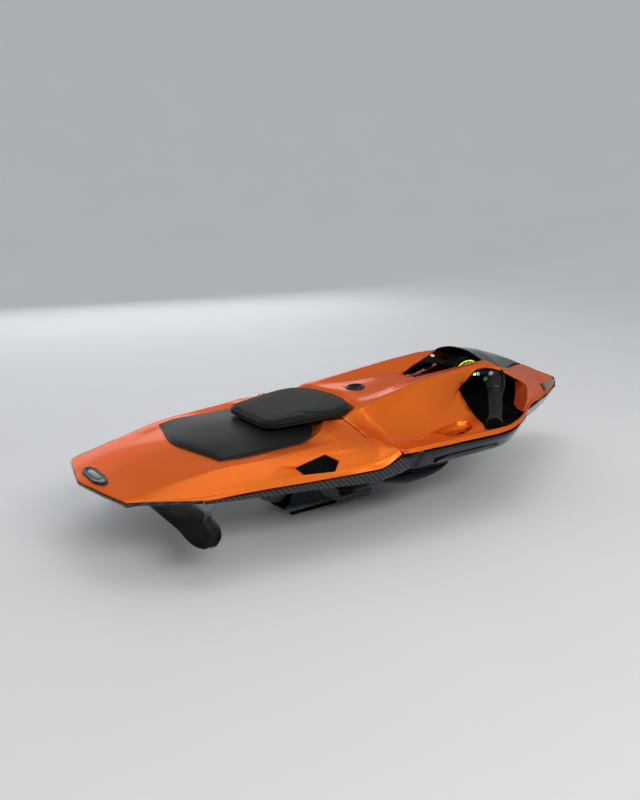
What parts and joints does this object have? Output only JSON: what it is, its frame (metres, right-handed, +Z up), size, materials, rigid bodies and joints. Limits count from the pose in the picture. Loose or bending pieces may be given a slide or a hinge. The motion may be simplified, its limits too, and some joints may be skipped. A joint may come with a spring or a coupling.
{
  "type": "underwater scooter",
  "caption": "Prone-ridden underwater jet scooter: hydrodynamic shell with hand openings, grips under a smoked visor, padded chest rest, internal electric jet drive and rear wing.",
  "frame": {"origin": "middle of the bounding box in plan, at the lowest point of the keel runners", "axes": "+X towards the bow along the direction of travel, +Y to port, +Z up"},
  "size_m": [1.319, 0.5562, 0.29],
  "materials": {
    "orange": "pearl gloss lacquer",
    "hull_black": "high gloss near-black",
    "carbon": "clear-coated woven carbon fibre",
    "mat_black": "satin ribbed mat",
    "soft_black": "soft matte skin",
    "visor_smoke": "smoked gloss",
    "liner_black": "matte",
    "grip_rubber": "matte moulded",
    "bezel": "anodised dark",
    "screen": "lit gauge behind glass",
    "button_green": "translucent",
    "button_grey": "satin",
    "lens": "dark lens",
    "grey_metal": "anodised",
    "steel": "brushed",
    "bronze": "cast bronze",
    "seal": "matte",
    "copper_core": "laminated core",
    "battery": "moulded case"
  },
  "bodies": {
    "hull": {"top_shell": "orange", "rear_cover": "orange", "bottom_hull": "hull_black", "hull_gasket": "seal", "tail_tray": "carbon", "side_fairing_right": "carbon", "side_fairing_left": "carbon", "side_trim_right": "lens", "side_trim_left": "lens", "transom_plate": "hull_black", "transom_screws": "steel", "nose_cap": "liner_black", "nose_lens_right": "lens", "nose_lens_left": "lens", "deck_mat": "mat_black", "pad_support": "liner_black", "chest_pad": "soft_black", "badge_plate": "bezel", "vent_mesh_right": "liner_black", "vent_mesh_left": "liner_black", "port_ring": "bezel", "port_seal": "seal", "visor": "visor_smoke", "cockpit_tub": "liner_black", "console": "liner_black", "gauge_bezel": "bezel", "gauge_screen": "screen", "grip_right": "grip_rubber", "grip_left": "grip_rubber", "rear_wing": "carbon", "wing_strut_right": "grey_metal", "wing_strut_left": "grey_metal", "wing_screws": "steel", "keel_fin_right": "carbon", "keel_fin_left": "carbon", "keel_runners": "grip_rubber", "side_skid_right": "grip_rubber", "side_skid_left": "grip_rubber", "jet_fairing": "hull_black", "jet_duct": "grey_metal", "intake_grille": "grey_metal", "stator": "grey_metal", "nozzle": "grey_metal", "shaft_seal": "seal", "shaft_bearings": "steel", "motor_housing": "grey_metal", "motor_mount": "grey_metal", "battery_pack": "battery", "battery_tray": "grey_metal", "control_unit": "grey_metal"},
    "rotor": {"drive_shaft": "steel", "impeller": "bronze", "motor_rotor": "copper_core"},
    "port_cap": {"port_cap": "liner_black"},
    "speed_button_right": {"speed_button_right": "button_green"},
    "boost_button_right": {"boost_button_right": "button_grey"},
    "speed_button_left": {"speed_button_left": "button_green"},
    "boost_button_left": {"boost_button_left": "button_grey"}
  },
  "joints": [
    {"name": "impeller_spin", "type": "hinge", "parent": "hull", "child": "rotor", "pos_m": [-0.195, 0, 0.063], "axis": [1, 0, 0], "continuous": true},
    {"name": "port_cap_turn", "type": "hinge", "parent": "hull", "child": "port_cap", "pos_m": [-0.028, 0, 0.2356], "axis": [-0.0906, 0, 0.9959], "range_deg": [0, 90]},
    {"name": "speed_button_right_press", "type": "slide", "parent": "hull", "child": "speed_button_right", "axis": [0.848, 0, -0.5299], "range_m": [0, 0.0015], "stiffness_N_per_m": 400},
    {"name": "boost_button_right_press", "type": "slide", "parent": "hull", "child": "boost_button_right", "axis": [0.848, 0, -0.5299], "range_m": [0, 0.0015], "stiffness_N_per_m": 400},
    {"name": "speed_button_left_press", "type": "slide", "parent": "hull", "child": "speed_button_left", "axis": [0.848, 0, -0.5299], "range_m": [0, 0.0015], "stiffness_N_per_m": 400},
    {"name": "boost_button_left_press", "type": "slide", "parent": "hull", "child": "boost_button_left", "axis": [0.848, 0, -0.5299], "range_m": [0, 0.0015], "stiffness_N_per_m": 400}
  ]
}
